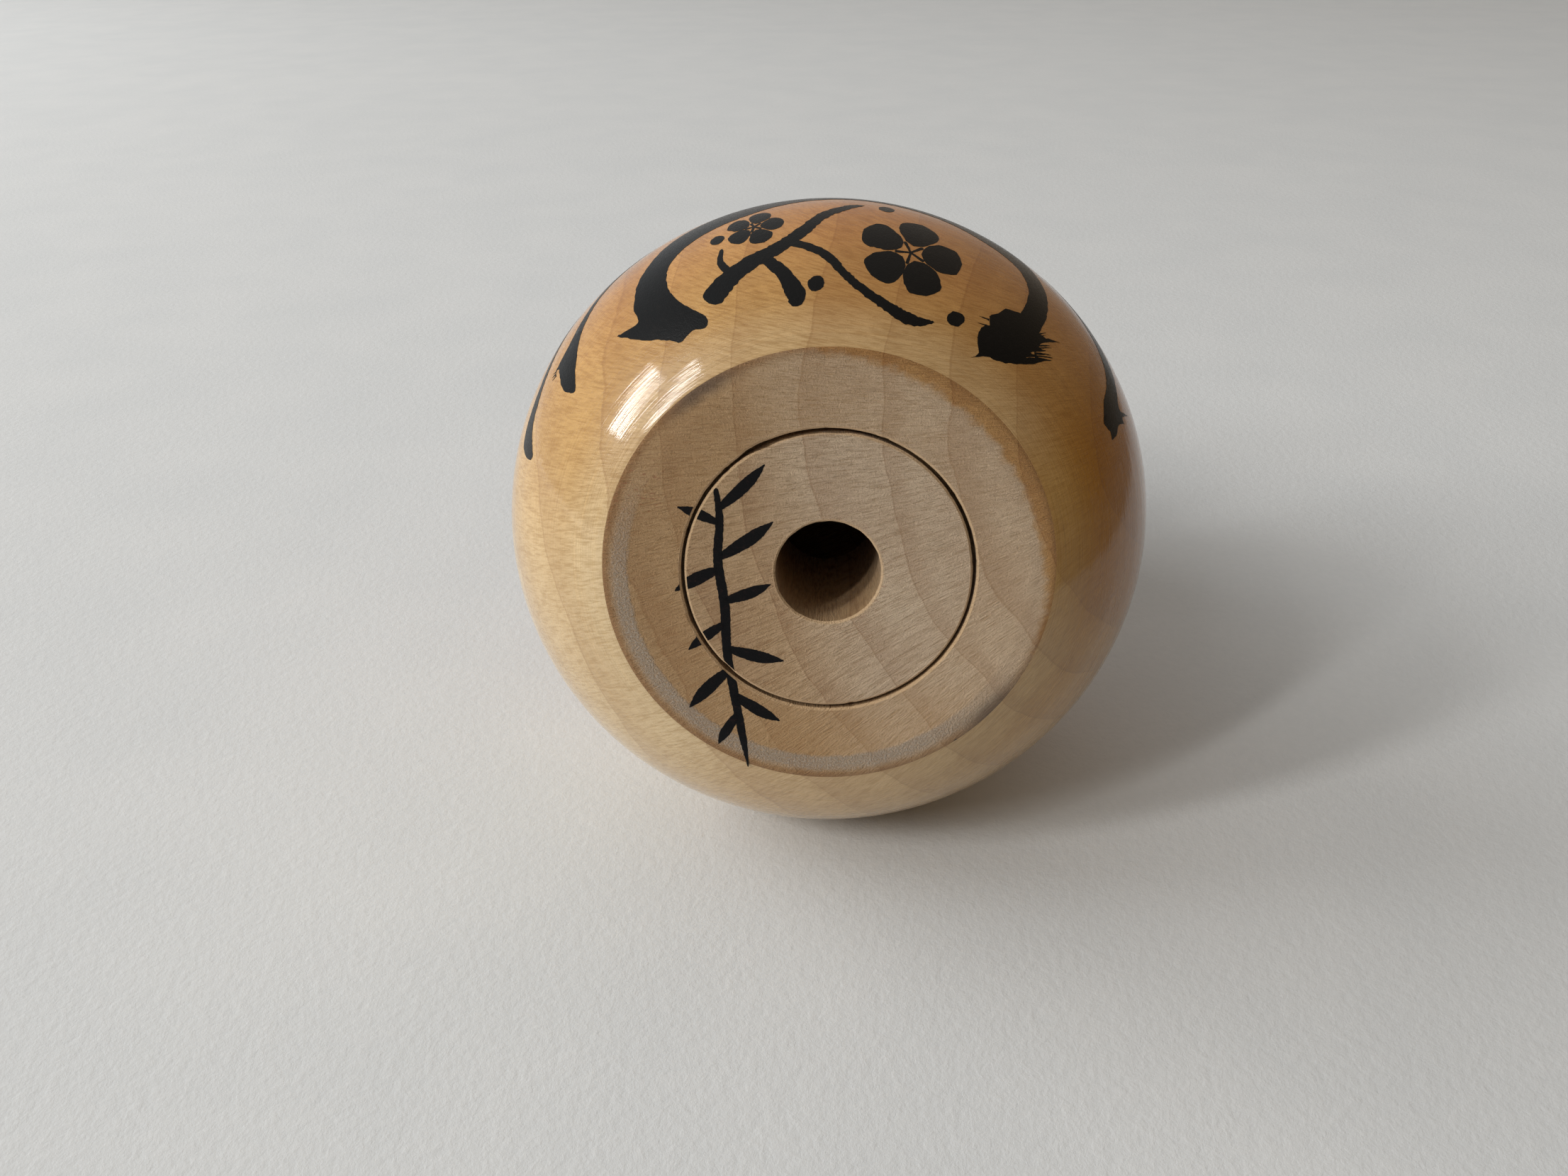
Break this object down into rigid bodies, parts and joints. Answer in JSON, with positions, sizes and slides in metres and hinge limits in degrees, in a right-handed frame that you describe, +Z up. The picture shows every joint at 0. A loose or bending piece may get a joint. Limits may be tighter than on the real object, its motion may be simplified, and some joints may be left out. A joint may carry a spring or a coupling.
{
  "type": "kokeshi doll",
  "caption": "Round-bodied turned wooden kokeshi doll with a turning head, brush-painted robe lines and a finger-bored plug in its base.",
  "frame": {"origin": "centre of the standing ring under the base, on the surface that the doll stands on", "axes": "+Z up along the turning axis, the face and the painted front towards -Y, the doll's left side towards +X"},
  "size_m": [0.1, 0.1, 0.131],
  "materials": {
    "body_wood": "clear gloss lacquer over an orange-red stain that fades into the natural wood",
    "plug_wood": "bare sanded end grain",
    "head_wood": "waxed satin",
    "dowel_wood": "bare turned",
    "black_ink": "brushed black ink, glossy under the lacquer and matte on the base",
    "red_ink": "brushed red pigment"
  },
  "bodies": {
    "body": {"body": "body_wood"},
    "plug": {"base_plug": "plug_wood"},
    "head": {"head": "head_wood", "neck_dowel": "dowel_wood"}
  },
  "joints": [
    {"name": "head_turn", "type": "hinge", "parent": "body", "child": "head", "pos_m": [0, 0, 0.0717], "axis": [0, 0, 1], "continuous": true},
    {"name": "plug_draw", "type": "slide", "parent": "body", "child": "plug", "axis": [0, 0, -1], "range_m": [0, 0.034]}
  ]
}
